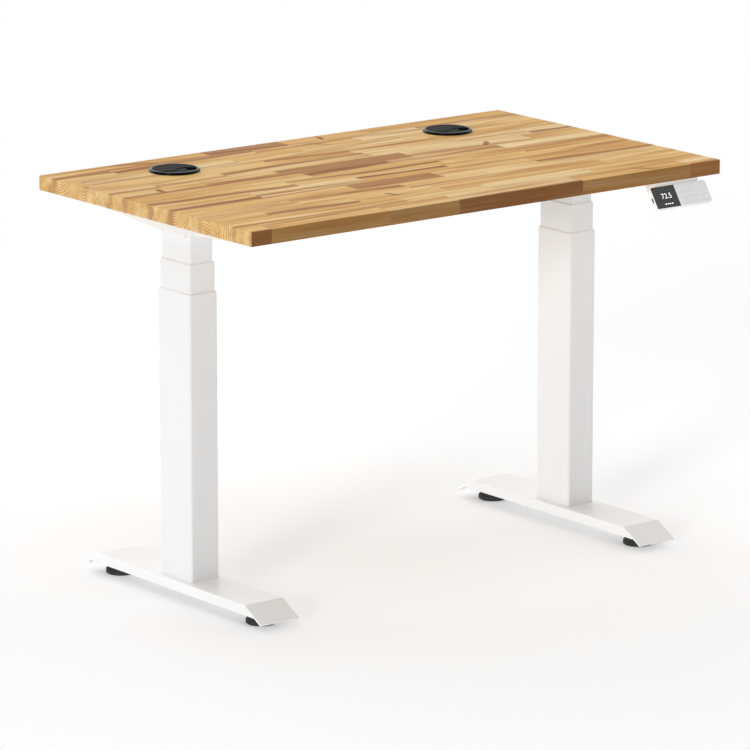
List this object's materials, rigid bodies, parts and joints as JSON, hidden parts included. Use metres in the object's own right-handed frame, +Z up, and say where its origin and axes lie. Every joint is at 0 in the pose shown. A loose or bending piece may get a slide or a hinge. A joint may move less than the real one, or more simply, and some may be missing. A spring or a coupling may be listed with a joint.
{
  "type": "height adjustable standing desk",
  "caption": "Electric height adjustable desk: wooden top with cable grommets on telescoping lifting columns, sheet-metal feet and a front handset.",
  "frame": {"origin": "on the floor under the centre of the overall bounding box", "axes": "+X to the user's right along the desktop, -Y towards the user, +Z up"},
  "size_m": [1, 0.6216, 0.6906],
  "materials": {
    "white_steel": "satin powder coat",
    "white_liner": "smooth",
    "steel": "machined",
    "bronze": "machined",
    "black_plastic": "fine grain",
    "grey_housing": "satin",
    "wood": "oiled",
    "white_plastic": "satin",
    "black_glass": "gloss",
    "grey_key": "satin"
  },
  "bodies": {
    "left_base": {"foot_left": "white_steel", "outer_column_left": "white_steel", "outer_liner_left": "white_liner", "nut_post_left": "steel", "lower_nut_left": "bronze", "foot_bolts_left": "steel"},
    "middle_left": {"middle_column_left": "white_steel", "middle_liner_left": "white_liner", "middle_glide_left": "white_liner", "nut_carrier_left": "steel", "upper_nut_left": "bronze"},
    "lower_screw_left": {"lower_screw_left": "steel"},
    "upper_screw_left": {"upper_screw_left": "steel", "worm_wheel_left": "bronze"},
    "leveller_left_front": {"leveller_left_front": "black_plastic"},
    "leveller_left_rear": {"leveller_left_rear": "black_plastic"},
    "right_base": {"foot_right": "white_steel", "outer_column_right": "white_steel", "outer_liner_right": "white_liner", "nut_post_right": "steel", "lower_nut_right": "bronze", "foot_bolts_right": "steel"},
    "middle_right": {"middle_column_right": "white_steel", "middle_liner_right": "white_liner", "middle_glide_right": "white_liner", "nut_carrier_right": "steel", "upper_nut_right": "bronze"},
    "lower_screw_right": {"lower_screw_right": "steel"},
    "upper_screw_right": {"upper_screw_right": "steel", "worm_wheel_right": "bronze"},
    "leveller_right_front": {"leveller_right_front": "black_plastic"},
    "leveller_right_rear": {"leveller_right_rear": "black_plastic"},
    "top": {"inner_column_left": "white_steel", "gearbox_left": "grey_housing", "motor_left": "grey_housing", "frame_arm_left": "white_steel", "grommet_ring_left": "black_plastic", "inner_column_right": "white_steel", "gearbox_right": "grey_housing", "motor_right": "grey_housing", "frame_arm_right": "white_steel", "grommet_ring_right": "black_plastic", "frame_rail_front": "white_steel", "frame_rail_rear": "white_steel", "desktop": "wood", "wood_screws": "steel", "frame_bolts": "steel", "control_box": "black_plastic", "handset_body": "white_plastic", "handset_display": "black_glass"},
    "grommet_lid_left": {"grommet_lid_left": "black_plastic"},
    "grommet_lid_right": {"grommet_lid_right": "black_plastic"},
    "key_lower_1": {"key_lower_1": "grey_key"},
    "key_lower_2": {"key_lower_2": "grey_key"},
    "key_lower_3": {"key_lower_3": "grey_key"},
    "key_lower_4": {"key_lower_4": "grey_key"},
    "key_upper_1": {"key_upper_1": "grey_key"},
    "key_upper_2": {"key_upper_2": "grey_key"},
    "key_upper_3": {"key_upper_3": "grey_key"},
    "key_upper_4": {"key_upper_4": "grey_key"}
  },
  "joints": [
    {"name": "lift", "type": "slide", "parent": "left_base", "child": "top", "axis": [0, 0, 1], "range_m": [-0.086, 0.564]},
    {"name": "middle_left_slide", "type": "slide", "parent": "left_base", "child": "middle_left", "axis": [0, 0, 1], "range_m": [-0.0431, 0.2821]},
    {"name": "middle_right_slide", "type": "slide", "parent": "top", "child": "middle_right", "axis": [0, 0, 1], "range_m": [-0.2821, 0.0431]},
    {"name": "right_base_slide", "type": "slide", "parent": "top", "child": "right_base", "axis": [0, 0, 1], "range_m": [-0.5641, 0.0861]},
    {"name": "upper_screw_left_turn", "type": "hinge", "parent": "top", "child": "upper_screw_left", "pos_m": [-0.41, 0.01082, 0.5], "axis": [0, 0, 1], "range_deg": [-1936, 12691]},
    {"name": "lower_screw_left_turn", "type": "hinge", "parent": "middle_left", "child": "lower_screw_left", "pos_m": [-0.41, 0.01082, 0.5], "axis": [0, 0, 1], "range_deg": [-1936, 12691]},
    {"name": "leveller_left_front_travel", "type": "slide", "parent": "left_base", "child": "leveller_left_front", "axis": [0, 0, -1], "range_m": [-0.004, 0.006]},
    {"name": "leveller_left_rear_travel", "type": "slide", "parent": "left_base", "child": "leveller_left_rear", "axis": [0, 0, -1], "range_m": [-0.004, 0.006]},
    {"name": "grommet_lid_left_turn", "type": "hinge", "parent": "top", "child": "grommet_lid_left", "pos_m": [-0.296, 0.20282, 0.688], "axis": [0, 0, 1], "continuous": true},
    {"name": "upper_screw_right_turn", "type": "hinge", "parent": "top", "child": "upper_screw_right", "pos_m": [0.41, 0.01082, 0.5], "axis": [0, 0, 1], "range_deg": [-1936, 12691]},
    {"name": "lower_screw_right_turn", "type": "hinge", "parent": "middle_right", "child": "lower_screw_right", "pos_m": [0.41, 0.01082, 0.5], "axis": [0, 0, 1], "range_deg": [-1936, 12691]},
    {"name": "leveller_right_front_travel", "type": "slide", "parent": "right_base", "child": "leveller_right_front", "axis": [0, 0, -1], "range_m": [-0.004, 0.006]},
    {"name": "leveller_right_rear_travel", "type": "slide", "parent": "right_base", "child": "leveller_right_rear", "axis": [0, 0, -1], "range_m": [-0.004, 0.006]},
    {"name": "grommet_lid_right_turn", "type": "hinge", "parent": "top", "child": "grommet_lid_right", "pos_m": [0.296, 0.20282, 0.688], "axis": [0, 0, 1], "continuous": true},
    {"name": "key_lower_1_press", "type": "slide", "parent": "top", "child": "key_lower_1", "axis": [0, 0.83, -0.5577], "range_m": [0, 0.0006], "stiffness_N_per_m": 2500},
    {"name": "key_lower_2_press", "type": "slide", "parent": "top", "child": "key_lower_2", "axis": [0, 0.83, -0.5577], "range_m": [0, 0.0006], "stiffness_N_per_m": 2500},
    {"name": "key_lower_3_press", "type": "slide", "parent": "top", "child": "key_lower_3", "axis": [0, 0.83, -0.5577], "range_m": [0, 0.0006], "stiffness_N_per_m": 2500},
    {"name": "key_lower_4_press", "type": "slide", "parent": "top", "child": "key_lower_4", "axis": [0, 0.83, -0.5577], "range_m": [0, 0.0006], "stiffness_N_per_m": 2500},
    {"name": "key_upper_1_press", "type": "slide", "parent": "top", "child": "key_upper_1", "axis": [0, 0.83, -0.5577], "range_m": [0, 0.0006], "stiffness_N_per_m": 2500},
    {"name": "key_upper_2_press", "type": "slide", "parent": "top", "child": "key_upper_2", "axis": [0, 0.83, -0.5577], "range_m": [0, 0.0006], "stiffness_N_per_m": 2500},
    {"name": "key_upper_3_press", "type": "slide", "parent": "top", "child": "key_upper_3", "axis": [0, 0.83, -0.5577], "range_m": [0, 0.0006], "stiffness_N_per_m": 2500},
    {"name": "key_upper_4_press", "type": "slide", "parent": "top", "child": "key_upper_4", "axis": [0, 0.83, -0.5577], "range_m": [0, 0.0006], "stiffness_N_per_m": 2500}
  ],
  "couplings": [
    {"joint": "middle_left_slide", "follows": "lift", "ratio": 0.5},
    {"joint": "middle_right_slide", "follows": "lift", "ratio": -0.5},
    {"joint": "right_base_slide", "follows": "lift", "ratio": -1},
    {"joint": "upper_screw_left_turn", "follows": "lift", "rad_per_m": 392.7},
    {"joint": "lower_screw_left_turn", "follows": "lift", "rad_per_m": 392.7},
    {"joint": "upper_screw_right_turn", "follows": "lift", "rad_per_m": 392.7},
    {"joint": "lower_screw_right_turn", "follows": "lift", "rad_per_m": 392.7}
  ]
}
